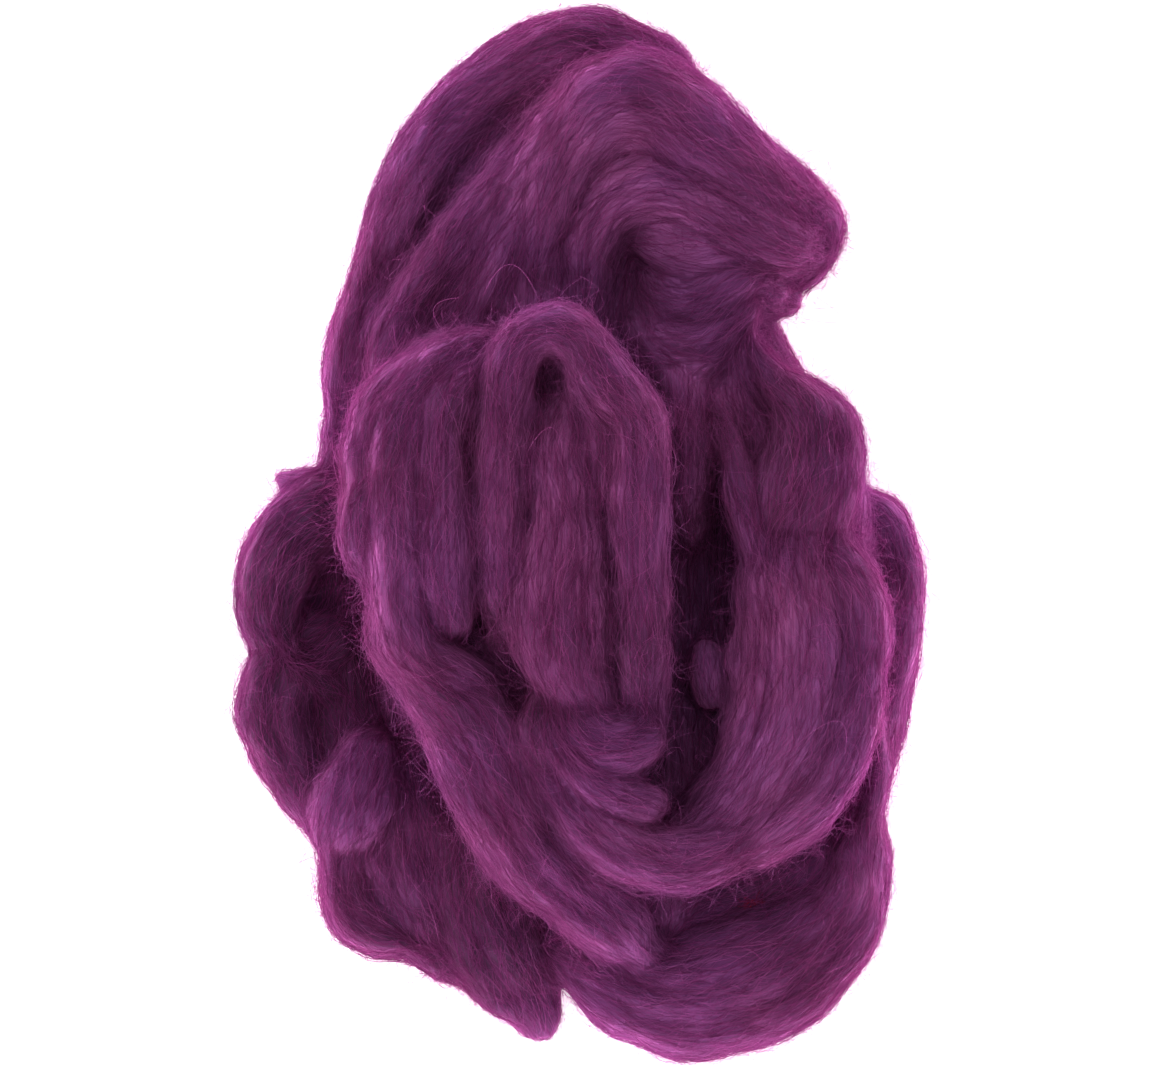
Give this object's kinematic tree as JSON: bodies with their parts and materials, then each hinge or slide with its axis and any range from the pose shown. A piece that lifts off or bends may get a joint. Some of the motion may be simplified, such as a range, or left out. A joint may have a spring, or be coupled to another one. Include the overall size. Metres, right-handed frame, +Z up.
{
  "type": "wool roving",
  "caption": "Loose heap of dyed combed wool roving: a thick soft band of fibres folded back and forth, with torn ends, lying flat on its underside.",
  "frame": {"origin": "on the resting plane, under the middle of the heap", "axes": "+Z up from the resting plane, +Y along the longest side, towards the end with the big outer arch, +X towards the torn end"},
  "size_m": [0.1708, 0.2604, 0.0573],
  "materials": {
    "wool": "soft matt dyed wool fibre, reddish purple, with a pale pink sheen at the edges"
  },
  "bodies": {
    "root": {"roving": "wool"}
  },
  "joints": []
}
